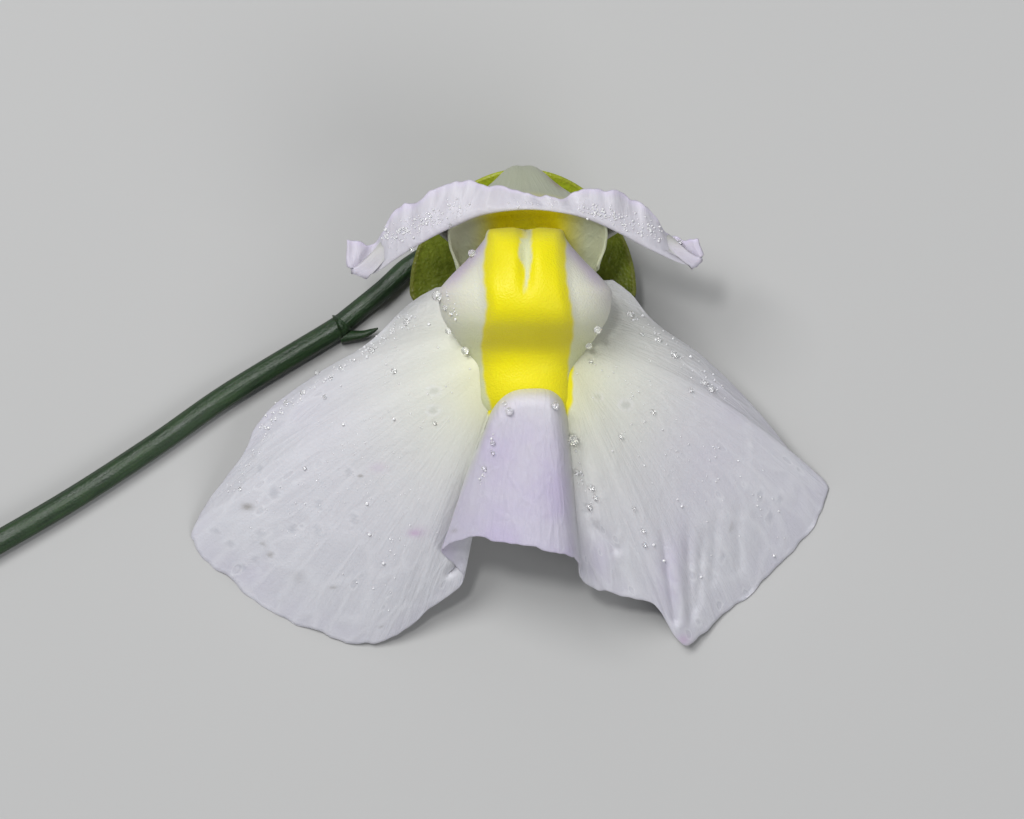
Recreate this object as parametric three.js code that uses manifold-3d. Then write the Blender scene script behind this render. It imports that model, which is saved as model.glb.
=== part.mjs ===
// A bladderwort flower, picked with a length of its stalk and laid down on its back.
// Millimetres. +Z points up, out of the flower's face; +Y points from the lower lip to the upper lip.
// The shapes are set out from the middle of the corolla; the exported group is moved so that its
// origin is under the middle of the whole flower, on the surface that it lies on.
import * as THREE from "three";
import { mergeVertices } from "three/addons/utils/BufferGeometryUtils.js";
import Module from "manifold-3d";

const wasm = await Module();
wasm.setup();

// Driving dimensions
const petalThickness = 0.4;
const sepalThickness = 0.35;
const stalkRadius = 0.6;
const pedicelRadius = 0.5;
const middle = 0.15; // x of the flower's plane of near symmetry

const petal = new THREE.MeshStandardMaterial({ color: 0xd9d6e2, roughness: 0.55, metalness: 0 });
const lipWhite = new THREE.MeshStandardMaterial({ color: 0xe0dee6, roughness: 0.55, metalness: 0 });
const sepalGreen = new THREE.MeshStandardMaterial({ color: 0x7d8f14, roughness: 0.5, metalness: 0 });
const stalkGreen = new THREE.MeshStandardMaterial({ color: 0x1d3315, roughness: 0.5, metalness: 0 });
const innerGreen = new THREE.MeshStandardMaterial({ color: 0x9fb04a, roughness: 0.5, metalness: 0 });
const antherCream = new THREE.MeshStandardMaterial({ color: 0xe6dba0, roughness: 0.6, metalness: 0 });

const at = (x, y, z) => new THREE.Vector3(x, y, z);
const curve = (points) => new THREE.CatmullRomCurve3(points, false, "catmullrom", 0.5);

// A smooth table: the height at x of a Hermite curve through [x, height] pairs.
function along(pairs, x) {
  const last = pairs.length - 1;
  let i = 0;
  while (i < last - 1 && x > pairs[i + 1][0]) i += 1;
  const slope = (k) => {
    const [before, after] = [pairs[Math.max(k - 1, 0)], pairs[Math.min(k + 1, last)]];
    return (after[1] - before[1]) / (after[0] - before[0]);
  };
  const span = pairs[i + 1][0] - pairs[i][0];
  const t = THREE.MathUtils.clamp((x - pairs[i][0]) / span, 0, 1);
  const [t2, t3] = [t * t, t * t * t];
  return (2 * t3 - 3 * t2 + 1) * pairs[i][1] + (t3 - 2 * t2 + t) * span * slope(i)
    + (3 * t2 - 2 * t3) * pairs[i + 1][1] + (t3 - t2) * span * slope(i + 1);
}

function signedVolume(positions, index) {
  let sum = 0;
  const [a, b, c] = [at(0, 0, 0), at(0, 0, 0), at(0, 0, 0)];
  for (let i = 0; i < index.length; i += 3) {
    a.fromArray(positions, 3 * index[i]);
    b.fromArray(positions, 3 * index[i + 1]);
    c.fromArray(positions, 3 * index[i + 2]);
    sum += a.dot(b.cross(c));
  }
  return sum;
}

// A geometry whose faces point out, whichever way round the triangles were listed.
function closedGeometry(vertices, index) {
  const positions = vertices.flatMap((v) => [v.x, v.y, v.z]);
  if (signedVolume(positions, index) < 0) index.reverse();
  const geometry = new THREE.BufferGeometry();
  geometry.setAttribute("position", new THREE.Float32BufferAttribute(positions, 3));
  geometry.setIndex(index);
  return geometry;
}

// A petal or sepal: the surface point(u, v) and a second one offset under it, closed along the rim.
function sheet(point, columns, rows, thickness) {
  const wide = columns + 1;
  const count = wide * (rows + 1);
  const front = [];
  for (let j = 0; j <= rows; j += 1)
    for (let i = 0; i <= columns; i += 1) front.push(point(i / columns, j / rows));
  const back = front.map((p, k) => {
    const i = k % wide;
    const j = Math.floor(k / wide);
    const [left, right] = [Math.max(i - 1, 0), Math.min(i + 1, columns)];
    const [below, above] = [Math.max(j - 1, 0), Math.min(j + 1, rows)];
    const across = front[j * wide + right].clone().sub(front[j * wide + left]);
    const up = front[above * wide + i].clone().sub(front[below * wide + i]);
    return p.clone().sub(across.cross(up).normalize().multiplyScalar(thickness));
  });
  const index = [];
  const quad = (a, b, c, d) => index.push(a, b, c, a, c, d);
  for (let j = 0; j < rows; j += 1)
    for (let i = 0; i < columns; i += 1) {
      const k = j * wide + i;
      quad(k, k + 1, k + wide + 1, k + wide);
      quad(count + k, count + k + wide, count + k + wide + 1, count + k + 1);
    }
  for (let i = 0; i < columns; i += 1) {
    const top = rows * wide + i;
    quad(i, count + i, count + i + 1, i + 1);
    quad(top, top + 1, count + top + 1, count + top);
  }
  for (let j = 0; j < rows; j += 1) {
    const left = j * wide;
    const right = left + columns;
    quad(left, left + wide, count + left + wide, count + left);
    quad(right, count + right, count + right + wide, right + wide);
  }
  return closedGeometry([...front, ...back], index);
}

// A closed body from rings of points, each end drawn in to one point.
function rings(first, loops, last) {
  const around = loops[0].length;
  const vertices = [first, ...loops.flat(), last];
  const end = vertices.length - 1;
  const index = [];
  for (let i = 0; i < around; i += 1) {
    const next = (i + 1) % around;
    index.push(0, 1 + next, 1 + i);
    for (let j = 0; j < loops.length - 1; j += 1) {
      const low = 1 + j * around;
      const high = low + around;
      index.push(low + i, low + next, high + next, low + i, high + next, high + i);
    }
    const rim = end - around;
    index.push(end, rim + i, rim + next);
  }
  return closedGeometry(vertices, index);
}

// A circle of points about a path's point, square to the path.
function ringAbout(path, t, radius, sides) {
  const centre = path.getPoint(t);
  const way = path.getTangent(t);
  const side = at(0, 0, 1).cross(way);
  if (side.lengthSq() < 0.05) side.copy(at(1, 0, 0).cross(way));
  side.normalize();
  const up = way.clone().cross(side);
  return Array.from({ length: sides }, (_, i) => {
    const turn = (2 * Math.PI * i) / sides;
    return centre
      .clone()
      .addScaledVector(side, radius * Math.cos(turn))
      .addScaledVector(up, radius * Math.sin(turn));
  });
}

// A round stalk along a path; radiusAt(t) sets its taper.
function stalk(points, radiusAt, steps, sides) {
  const path = curve(points);
  const loops = [];
  for (let j = 0; j <= steps; j += 1)
    loops.push(ringAbout(path, j / steps, radiusAt(j / steps), sides));
  return rings(path.getPoint(0), loops, path.getPoint(1));
}

function solidOf(geometry) {
  const merged = mergeVertices(geometry, 1e-4);
  return new wasm.Manifold(
    new wasm.Mesh({
      numProp: 3,
      vertProperties: new Float32Array(merged.attributes.position.array),
      triVerts: new Uint32Array(merged.index.array),
    }),
  );
}

function geometryOf(solid) {
  const mesh = solid.getMesh();
  const geometry = new THREE.BufferGeometry();
  const positions = new THREE.BufferAttribute(new Float32Array(mesh.vertProperties), 3);
  geometry.setAttribute("position", positions);
  geometry.setIndex(new THREE.BufferAttribute(new Uint32Array(mesh.triVerts), 1));
  return geometry;
}

// Lower lip: ribs from the foot of the palate out to the margin, from the left corner of the mouth
// round the left lobe, the pleated middle lobe and the right lobe to the right corner.
// Each rib is [foot x, y, z, margin x, y, z].
const ribs = [
  [-2.9, 6.2, 7.0, -4.2, 6.1, 6.4],
  [-3.0, 5.4, 7.2, -5.6, 5.2, 5.4],
  [-2.8, 4.6, 7.4, -7.6, 3.3, 4.4],
  [-2.5, 4.1, 7.6, -10.1, 1.8, 3.3],
  [-2.2, 3.7, 7.9, -12.8, -0.2, 2.3],
  [-1.9, 3.3, 8.1, -14.0, -2.3, 1.6],
  [-1.7, 3.0, 8.3, -15.7, -4.6, 0.5],
  [-1.5, 2.8, 8.5, -16.6, -6.5, 0.1],
  [-1.4, 2.6, 8.7, -15.0, -8.4, 0.03],
  [-1.2, 2.4, 8.9, -12.2, -10.4, 0.03],
  [-1.1, 2.3, 9.0, -9.2, -11.6, 0.15],
  [-1.0, 2.2, 9.1, -6.9, -11.7, 0.45],
  [-0.9, 2.1, 9.2, -4.8, -10.2, 1.7],
  [-0.7, 2.1, 9.2, -2.8, -8.5, 3.2],
  [-0.5, 2.0, 9.3, -3.9, -7.1, 5.4],
  [-0.2, 2.0, 9.4, -2.5, -6.3, 7.9],
  [0.2, 2.0, 9.5, -0.9, -6.5, 8.8],
  [0.7, 2.0, 9.5, 0.8, -6.8, 9.0],
  [1.2, 2.0, 9.5, 2.3, -7.2, 8.1],
  [1.6, 2.0, 9.3, 2.9, -7.6, 6.2],
  [1.8, 2.1, 9.2, 3.1, -8.5, 4.2],
  [1.9, 2.2, 9.1, 4.6, -9.2, 4.0],
  [2.0, 2.3, 9.0, 6.8, -9.8, 2.6],
  [2.1, 2.4, 8.9, 8.3, -11.8, 0.9],
  [2.2, 2.6, 8.7, 10.3, -10.4, 0.1],
  [2.3, 2.8, 8.5, 12.5, -8.5, 0.03],
  [2.4, 3.0, 8.3, 14.6, -6.2, 0.03],
  [2.5, 3.3, 8.1, 15.6, -4.0, 0.08],
  [2.7, 3.7, 7.9, 14.0, -2.5, 1.2],
  [2.9, 4.1, 7.6, 11.6, 0.3, 2.3],
  [3.1, 4.6, 7.4, 9.2, 2.6, 3.4],
  [3.3, 5.2, 7.2, 6.8, 4.3, 4.6],
  [3.3, 5.8, 7.1, 5.5, 5.8, 5.6],
  [3.2, 6.3, 7.0, 4.6, 6.5, 6.4],
];
const foot = curve(ribs.map((r) => at(r[0], r[1], r[2])));
const margin = curve(ribs.map((r) => at(r[3], r[4], r[5])));
// The middle lobe's ridge: the share of the rim it takes, how far out of the palate it starts, how
// abruptly it rises and how high.
const middleLobe = { from: 0.4, to: 0.59, start: 0.13, rise: 0.06, lift: 1.8 };
const falling = 1.45; // over 1, the lip is level by the palate and falls away towards its rim

function lowerLipPoint(u, v) {
  const { from, to, start, rise, lift } = middleLobe;
  const inner = foot.getPoint(u);
  const outer = margin.getPoint(u);
  const p = inner.clone().lerp(outer, v);
  p.z = inner.z + (outer.z - inner.z) * v ** falling;
  const ridge = THREE.MathUtils.smoothstep(u, from, from + 0.05)
    * (1 - THREE.MathUtils.smoothstep(u, to - 0.05, to));
  p.z += lift * ridge * (1 - Math.exp(-Math.max(v - start, 0) / rise)) * (1 - v);
  return p;
}

// Palate: the swollen two-humped cushion that shuts the mouth. Each level has
// [y, half width, front z]; its back is level.
const palateLevels = {
  halfWidth: [[0.9, 1.6], [1.6, 2.0], [2.4, 2.2], [3.0, 2.6], [4.0, 3.6], [5.0, 4.2], [5.8, 4.25],
    [6.5, 3.7], [7.5, 2.8], [8.4, 2.1], [9.0, 1.2]],
  front: [[0.9, 9.5], [1.6, 10.1], [2.4, 11.3], [3.2, 12.5], [4.6, 13.6], [6.2, 13.9], [7.8, 13.3],
    [8.6, 12.4], [9.0, 11.4]],
  back: 7.0,
  low: 0.9,
  high: 9.0,
};

function palateGeometry(levels, sides) {
  const { low, high, back } = palateLevels;
  const loops = [];
  for (let j = 1; j < levels; j += 1) {
    const turn = (Math.PI * j) / levels;
    const y = (low + high) / 2 - ((high - low) / 2) * Math.cos(turn);
    const wide = along(palateLevels.halfWidth, y) * Math.min(1, 3 * Math.sin(turn));
    const top = along(palateLevels.front, y);
    const centre = (top + back) / 2;
    loops.push(
      Array.from({ length: sides }, (_, i) => {
        const a = (2 * Math.PI * i) / sides;
        const squared = (s) => Math.sign(s) * Math.abs(s) ** 0.8;
        return at(0.25 + wide * squared(Math.cos(a)), y, centre + ((top - back) / 2) * squared(Math.sin(a)));
      }),
    );
  }
  const poleZ = (y) => (along(palateLevels.front, y) + back) / 2;
  return rings(at(0.25, low, poleZ(low)), loops, at(0.25, high, poleZ(high)));
}

// The lobes and the palate in one body. Its outer surface is kept, so no pocket is shut in between them.
function lowerLipGeometry() {
  const lobes = solidOf(sheet(lowerLipPoint, 66, 10, petalThickness));
  const joined = lobes.add(solidOf(palateGeometry(12, 20)));
  const bodies = joined.decompose().sort((a, b) => b.volume() - a.volume());
  return geometryOf(bodies[0]);
}

// Upper lip: arches of points from the base to the free margin, left to right.
const upperArches = [
  [[-2.0, 6.0, 3.1], [-2.5, 6.9, 3.0], [-1.6, 7.6, 2.9], [0.15, 7.8, 2.9], [1.9, 7.6, 2.9], [2.8, 6.9, 3.0], [2.3, 6.0, 3.1]],
  [[-2.8, 7.0, 5.2], [-3.4, 8.0, 5.0], [-1.9, 8.9, 4.8], [0.15, 9.1, 4.8], [2.2, 8.9, 4.8], [4.0, 8.0, 5.0], [3.4, 7.0, 5.2]],
  [[-4.6, 7.6, 7.2], [-3.6, 9.0, 7.0], [-1.6, 10.3, 6.8], [0.45, 12.2, 6.7], [2.2, 10.3, 6.8], [4.4, 9.1, 7.0], [5.4, 7.7, 7.2]],
  [[-6.3, 7.3, 9.2], [-4.4, 8.8, 9.6], [-1.9, 9.9, 9.8], [0.4, 10.7, 9.8], [2.6, 9.9, 9.8], [4.9, 8.9, 9.6], [7.0, 7.6, 9.2]],
  [[-7.5, 6.8, 9.6], [-4.9, 8.3, 11.0], [-1.9, 9.5, 11.6], [0.4, 9.8, 11.7], [2.8, 9.5, 11.6], [5.4, 8.5, 11.0], [8.1, 7.2, 9.6]],
  [[-7.9, 8.0, 9.4], [-5.4, 10.1, 10.8], [-2.3, 11.2, 11.4], [0.6, 10.7, 11.6], [3.2, 10.7, 11.4], [5.9, 10.1, 10.8], [8.7, 8.2, 9.4]],
];

function upperLipGeometry() {
  const arches = upperArches.map((row) => curve(row.map(([x, y, z]) => at(x, y, z))));
  const point = (u, v) => curve(arches.map((arch) => arch.getPoint(u))).getPoint(v);
  return sheet(point, 30, 20, petalThickness);
}

// Spur: a hollow horn from the mouth, bent down behind the lower lip. [t, radius] along its path.
const spurPath = [
  at(middle, 6.35, 6.05), at(middle, 6.05, 5.4), at(middle, 5.4, 4.6), at(middle, 4.4, 4.0),
  at(middle, 2.1, 3.5), at(middle, -0.5, 3.2), at(middle, -2.9, 3.3),
];
const spurRadii = [[0, 2.1], [0.12, 1.75], [0.3, 1.35], [0.6, 1.0], [0.85, 0.7], [1, 0.4]];
const spurWall = 0.35;

function spurGeometry(steps, sides) {
  const path = curve(spurPath);
  const inside = 0.86; // share of the horn's length that is hollow
  const outer = [];
  const inner = [];
  for (let j = 0; j <= steps; j += 1) {
    const t = j / steps;
    outer.push(ringAbout(path, t, along(spurRadii, t), sides));
    inner.push(ringAbout(path, t * inside, along(spurRadii, t * inside) - spurWall, sides));
  }
  const tip = path.getPoint(1).addScaledVector(path.getTangent(1), 0.3);
  return rings(tip, [...outer.reverse(), ...inner], path.getPoint(inside));
}

// Sepals: broad dishes above and below the receptacle. A square is pressed into a disc; beyond and
// short of its widest place it has different lengths, so the base is blunt. The rim turns up.
function sepalPoint({ widestY, halfWidth, beyond, short, base, curl, tipCurl }) {
  return (u, v) => {
    const [s, t] = [2 * u - 1, 2 * v - 1];
    const across = s * Math.sqrt(1 - (t * t) / 2);
    const lengthways = t * Math.sqrt(1 - (s * s) / 2);
    const z = base + curl * across * across + tipCurl * Math.max(0, lengthways) ** 2;
    const y = widestY + (lengthways > 0 ? beyond : short) * lengthways;
    return at(middle + halfWidth * across, y, z);
  };
}
const upperSepal = { widestY: 6.5, halfWidth: 5.6, beyond: 5.6, short: 1.3, base: 1.95, curl: 0.9, tipCurl: 2.3 };
const lowerSepal = { widestY: 3.7, halfWidth: 4.9, beyond: -4.6, short: -1.2, base: 1.95, curl: 0.5, tipCurl: -0.8 };

const node = at(-9.6, 3.95, stalkRadius);
const peduncle = () =>
  stalk(
    [at(-28, -7.6, 0.6), at(-23, -4.7, 0.6), at(-18.6, -1.85, 0.6), at(-14.8, 0.8, 0.6), node],
    (t) => stalkRadius * (1 - 0.04 * t),
    22,
    12,
  );
const pedicel = () =>
  stalk(
    [at(-9.33, 4.17, 0.6), at(-7.0, 6.05, 0.56), at(-5.6, 7.3, 0.52), at(-4.0, 8.1, 0.55),
      at(-2.2, 7.9, 0.58), at(-0.6, 6.5, 0.65), at(0.1, 5.1, 0.8)],
    (t) => pedicelRadius * (1 + 0.1 * t * t),
    22,
    12,
  );

// Bract: a small pointed scale at the joint of stalk and pedicel.
const bract = () =>
  stalk(
    [at(-8.62, 3.75, 0.55), at(-8.2, 3.8, 0.6), at(-7.7, 3.95, 0.66), at(-7.2, 4.2, 0.75)],
    (t) => 0.32 * (1 - 0.85 * t ** 1.5),
    8,
    10,
  );

// Ovary, style and stigma in one body, standing on the receptacle inside the horn's mouth.
function pistil() {
  const outline = [[0, 0.5], [0.12, 0.66], [0.35, 0.7], [0.6, 0.42], [0.75, 0.24], [0.88, 0.3], [1, 0.22]];
  return stalk(
    [at(middle, 5.2, 4.8), at(middle, 5.6, 5.35), at(middle, 6.05, 6.0), at(middle, 6.4, 6.5)],
    (t) => along(outline, t),
    12,
    12,
  );
}

// A stamen: a curved filament that thickens into its anther.
function stamen(side) {
  const outline = [[0, 0.2], [0.55, 0.2], [0.72, 0.34], [0.88, 0.36], [1, 0.16]];
  const x = (out) => middle + side * out;
  return stalk(
    [at(x(0.8), 5.55, 5.2), at(x(0.95), 5.8, 5.6), at(x(1.0), 6.1, 5.98), at(x(0.8), 6.4, 6.35)],
    (t) => along(outline, t),
    10,
    10,
  );
}

const flower = new THREE.Group();
function add(name, geometry, material) {
  const mesh = new THREE.Mesh(geometry, material);
  mesh.name = name;
  flower.add(mesh);
}

add("peduncle", peduncle(), stalkGreen);
add("pedicel", pedicel(), stalkGreen);
add("bract", bract(), stalkGreen);
add("upper_sepal", sheet(sepalPoint(upperSepal), 16, 10, sepalThickness), sepalGreen);
add("lower_sepal", sheet(sepalPoint(lowerSepal), 16, 10, sepalThickness), sepalGreen);
add("spur", spurGeometry(14, 14), petal);
add("lower_lip", lowerLipGeometry(), lipWhite);
add("upper_lip", upperLipGeometry(), petal);
add("pistil", pistil(), innerGreen);
add("left_stamen", stamen(-1), antherCream);
add("right_stamen", stamen(1), antherCream);

const box = new THREE.Box3().setFromObject(flower);
flower.position.set(-(box.min.x + box.max.x) / 2, -(box.min.y + box.max.y) / 2, -box.min.z);

export default flower;
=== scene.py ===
import bpy
import numpy as np
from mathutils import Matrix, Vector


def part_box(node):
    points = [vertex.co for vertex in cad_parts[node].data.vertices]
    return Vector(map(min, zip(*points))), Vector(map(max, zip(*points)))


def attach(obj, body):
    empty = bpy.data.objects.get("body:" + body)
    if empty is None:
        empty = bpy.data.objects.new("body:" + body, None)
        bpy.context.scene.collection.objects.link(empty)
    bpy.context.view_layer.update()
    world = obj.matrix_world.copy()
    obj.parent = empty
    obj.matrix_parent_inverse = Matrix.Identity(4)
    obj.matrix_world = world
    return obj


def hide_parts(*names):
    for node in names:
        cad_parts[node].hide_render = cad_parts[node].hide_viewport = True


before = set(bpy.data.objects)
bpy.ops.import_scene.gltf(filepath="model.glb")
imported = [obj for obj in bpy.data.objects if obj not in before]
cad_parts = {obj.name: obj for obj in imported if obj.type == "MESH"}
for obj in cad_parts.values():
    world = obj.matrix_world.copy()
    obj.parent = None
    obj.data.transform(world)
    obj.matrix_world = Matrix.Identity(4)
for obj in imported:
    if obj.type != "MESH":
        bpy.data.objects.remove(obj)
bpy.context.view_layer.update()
print("frame loaded,", len(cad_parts), "nodes")

# Lengths are millimetres from the middle of the corolla until a piece is made: +x towards the right lobe,
# +y towards the upper lip, +z out of the flower's face, with the surface it lies on at 0.
metre = 0.001
middle = 0.15
rng = np.random.default_rng(11)
surfaces = {}  # the points and normals of each outer surface, for the dew to sit on

stalk = {
    "line": [[-28, -7.6, 0.6], [-23, -4.7, 0.6], [-18.6, -1.85, 0.6], [-14.8, 0.8, 0.6], [-9.6, 3.95, 0.6]],
    "radius": 0.6,
}


def unit(vectors):
    return vectors / (np.linalg.norm(vectors, axis=-1, keepdims=True) + 1e-12)


def smooth(x, low, high):
    # smoothstep: 0 at low, 1 at high, level at both ends
    t = np.clip((np.asarray(x, float) - low) / (high - low), 0, 1)
    return t * t * (3 - 2 * t)


def bell(x, y, spot):
    # a soft oval patch: exp(-r^2), with r the distance from the spot's middle over its two half widths
    centreX, centreY, wide, high = spot[:4]
    return np.exp(-((x - centreX) / wide) ** 2 - ((y - centreY) / high) ** 2)


def stroke(x, y, mark):
    # a soft line in plan that deepens from its start: exp(-(distance from the segment / width)^2)
    startX, startY, endX, endY, width = mark[:5]
    alongX, alongY = endX - startX, endY - startY
    share = np.clip(((x - startX) * alongX + (y - startY) * alongY) / (alongX**2 + alongY**2), 0, 1)
    away = np.hypot(x - startX - share * alongX, y - startY - share * alongY)
    return np.exp(-((away / width) ** 2)) * smooth(share, -0.05, 0.45)


def curveWeights(count, t):
    # Catmull-Rom: how much of each of count points is in the curve at t; past both ends it runs on straight
    t = np.clip(np.ravel(t), 0, 1) * (count - 1)
    first = np.minimum(t.astype(int), count - 2)
    w = t - first
    shares = [-w + 2 * w**2 - w**3, 2 - 5 * w**2 + 3 * w**3, w + 4 * w**2 - 3 * w**3, w**3 - w**2]
    weights = np.zeros((len(t), count + 2))
    for k, share in enumerate(shares):
        weights[np.arange(len(t)), first + k] += share / 2
    weights[:, 1] += 2 * weights[:, 0]
    weights[:, 2] -= weights[:, 0]
    weights[:, -2] += 2 * weights[:, -1]
    weights[:, -3] -= weights[:, -1]
    return weights[:, 1:-1]


def curveAt(points, t):
    points = np.array(points, float)
    return curveWeights(len(points), t) @ points


def heightsAt(pairs, x):
    # Hermite curve through [x, height] pairs, each slope taken between the pair's two neighbours
    knots, heights = np.array(pairs, float).T
    order = np.arange(len(knots))
    before, after = np.maximum(order - 1, 0), np.minimum(order + 1, len(knots) - 1)
    slopes = (heights[after] - heights[before]) / (knots[after] - knots[before])
    i = np.clip(np.searchsorted(knots, x) - 1, 0, len(knots) - 2)
    span = knots[i + 1] - knots[i]
    t = np.clip((x - knots[i]) / span, 0, 1)
    return ((2 * t**3 - 3 * t**2 + 1) * heights[i] + (t**3 - 2 * t**2 + t) * span * slopes[i]
            + (3 * t**2 - 2 * t**3) * heights[i + 1] + (t**3 - t**2) * span * slopes[i + 1])


def ripple(x, waves):
    # a sum of sines, each wave given as (cycles, phase, height)
    return sum(high * np.sin(2 * np.pi * (cycles * x + phase)) for cycles, phase, high in waves)


def gridQuads(rows, columns, start=0, closed=False):
    index = start + np.arange(rows * columns).reshape(rows, columns)
    if closed:
        index = np.hstack([index, index[:, :1]])
    corners = [index[:-1, :-1], index[:-1, 1:], index[1:, 1:], index[1:, :-1]]
    return np.stack(corners, -1).reshape(-1, 4)


def volumeOf(points, faces):
    # six times the signed volume, as a fan of triangles from each face's first corner
    total = 0.0
    for size in {len(f) for f in faces}:
        corners = points[np.array([f for f in faces if len(f) == size])]
        for k in range(1, size - 1):
            total += np.sum(corners[:, 0] * np.cross(corners[:, k], corners[:, k + 1]))
    return total


def leaf(front, thickness):
    # petal or sepal: the grid front, a copy thickness behind it along the normal, and a rim pushed out round
    rows, columns = front.shape[:2]
    normal = unit(np.cross(np.gradient(front, axis=1), np.gradient(front, axis=0)))
    back = front - normal * thickness[..., None]
    order = np.arange(rows * columns).reshape(rows, columns)
    rim = np.concatenate([order[0, :-1], order[:-1, -1], order[-1, :0:-1], order[:0:-1, 0]])
    inner = np.clip(rim // columns, 1, rows - 2) * columns + np.clip(rim % columns, 1, columns - 2)
    flat, flatBack = front.reshape(-1, 3), back.reshape(-1, 3)
    away = unit(flat[rim] - flat[inner]) * (thickness.ravel()[rim] * 0.45)[:, None]
    edge = (flat[rim] + flatBack[rim]) / 2 + away
    count = rows * columns
    faces = gridQuads(rows, columns)
    faces = np.vstack([faces, count + faces[:, ::-1]])
    here, nextOne = np.arange(len(rim)), np.roll(np.arange(len(rim)), -1)
    for near, far in ((rim, 2 * count + here), (2 * count + here, count + rim)):
        faces = np.vstack([faces, np.stack([near[nextOne], near, far, far[nextOne]], -1)])
    source = np.concatenate([order.ravel(), order.ravel(), rim])
    return np.vstack([flat, flatBack, edge]), faces.tolist(), source


def onLeaf(values, flow, source):
    # each attribute, and the vector flow for the veins, brought from the grid to the leaf's points
    values = {key: value.ravel()[source] for key, value in values.items()}
    values["flow"] = np.stack(flow, -1).reshape(-1, 3)[source]
    return values


def ringBody(rings):
    # a closed body from rings of points, each end drawn in to the middle of its ring
    count, sides = rings.shape[:2]
    points = np.vstack([rings.reshape(-1, 3), rings[0].mean(0), rings[-1].mean(0)])
    faces = gridQuads(count, sides, closed=True).tolist()
    here, nextOne = np.arange(sides), np.roll(np.arange(sides), -1)
    low, high = count * sides, count * sides + 1
    faces += np.stack([np.full(sides, low), nextOne, here], -1).tolist()
    last = (count - 1) * sides
    faces += np.stack([np.full(sides, high), last + here, last + nextOne], -1).tolist()
    if volumeOf(points, faces) < 0:
        faces = [f[::-1] for f in faces]
    return points, faces


def tubeRings(line, t, radius, angle, sideways=(0, 0, 1)):
    # rings square to a curve: centre + radius * (side * cos + up * sin); radius may change with t and angle
    step = 1e-3
    centre = curveAt(line, t)
    way = unit(curveAt(line, np.minimum(t + step, 1)) - curveAt(line, np.maximum(t - step, 0)))
    side = unit(np.cross(sideways, way))
    up = np.cross(way, side)
    turns = side[:, None] * np.cos(angle)[..., None] + up[:, None] * np.sin(angle)[..., None]
    return centre[:, None] + radius[..., None] * turns


def frameShift():
    # the stalk's box begins at its cut ring, which reaches radius * (way y, way x, 1) below its middle
    line = np.array(stalk["line"], float)
    way = unit(line[1] - line[0])
    low = np.array(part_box("peduncle")[0]) / metre
    return low - (line[0] - stalk["radius"] * np.array([way[1], way[0], 1]))


shift = frameShift()


def makePiece(name, points, faces, material, stands=(), values=None):
    mesh = bpy.data.meshes.new(name)
    mesh.from_pydata(((points + shift) * metre).tolist(), [], faces)
    mesh.polygons.foreach_set("use_smooth", np.ones(len(mesh.polygons), bool))
    for key, value in (values or {}).items():
        value = np.asarray(value, np.float32)
        layer = mesh.attributes.new(key, "FLOAT_VECTOR" if value.ndim == 2 else "FLOAT", "POINT")
        layer.data.foreach_set("vector" if value.ndim == 2 else "value", value.ravel())
    mesh.update()
    mesh.materials.append(material)
    piece = bpy.data.objects.new(name, mesh)
    bpy.context.scene.collection.objects.link(piece)
    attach(piece, "root")
    if stands:
        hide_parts(*stands)
    return piece


# Shader helpers: a socket among the inputs is linked, anything else is set.
def fillInputs(tree, node, inputs):
    for key, value in inputs.items():
        if isinstance(value, bpy.types.NodeSocket):
            tree.links.new(value, node.inputs[key])
        else:
            node.inputs[key].default_value = value


def put(tree, kind, inputs=None, **settings):
    made = tree.nodes.new("ShaderNode" + kind)
    for key, value in settings.items():
        setattr(made, key, value)
    fillInputs(tree, made, inputs or {})
    return made


def maths(tree, operation, first, second=0.0, third=0.0):
    return put(tree, "Math", {0: first, 1: second, 2: third}, operation=operation).outputs[0]


def times(tree, vector, factors):
    return put(tree, "VectorMath", {0: vector, 1: factors}, operation="MULTIPLY").outputs[0]


def swayed(tree, sway, amount, vector):
    # vector + sway * amount, for patterns that wander
    return put(tree, "VectorMath", {0: sway, 1: amount, 2: vector}, operation="MULTIPLY_ADD").outputs[0]


def spread(tree, value, low, high, toLow=0.0, toHigh=1.0):
    # smoothstep from low to high
    inputs = {"Value": value, "From Min": low, "From Max": high, "To Min": toLow, "To Max": toHigh}
    return put(tree, "MapRange", inputs, interpolation_type="SMOOTHSTEP").outputs[0]


def mixed(tree, share, first, second, mode="MIX"):
    made = put(tree, "Mix", {0: share, 6: first, 7: second}, data_type="RGBA", blend_type=mode)
    return made.outputs[2]


def attribute(tree, name, output="Fac"):
    return put(tree, "Attribute", attribute_name=name).outputs[output]


def newGroup(name, inputs, outputs):
    group = bpy.data.node_groups.new(name, "ShaderNodeTree")
    for socket, (kind, value) in inputs.items():
        made = group.interface.new_socket(socket, in_out="INPUT", socket_type="NodeSocket" + kind)
        if value is not None:
            made.default_value = value
    for socket in outputs:
        group.interface.new_socket(socket, in_out="OUTPUT", socket_type="NodeSocketFloat")
    start, end = group.nodes.new("NodeGroupInput"), group.nodes.new("NodeGroupOutput")
    return group, start.outputs, end.inputs


def useGroup(tree, group, inputs):
    made = tree.nodes.new("ShaderNodeGroup")
    made.node_tree = group
    fillInputs(tree, made, inputs)
    return made.outputs


def newMaterial(name, **sockets):
    material = bpy.data.materials.new(name)
    material.use_nodes = True
    tree = material.node_tree
    tree.nodes.clear()
    output = tree.nodes.new("ShaderNodeOutputMaterial")
    shader = tree.nodes.new("ShaderNodeBsdfPrincipled")
    tree.links.new(shader.outputs["BSDF"], output.inputs["Surface"])
    for key, value in sockets.items():
        shader.inputs[key].default_value = value
    return material, tree, shader


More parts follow.
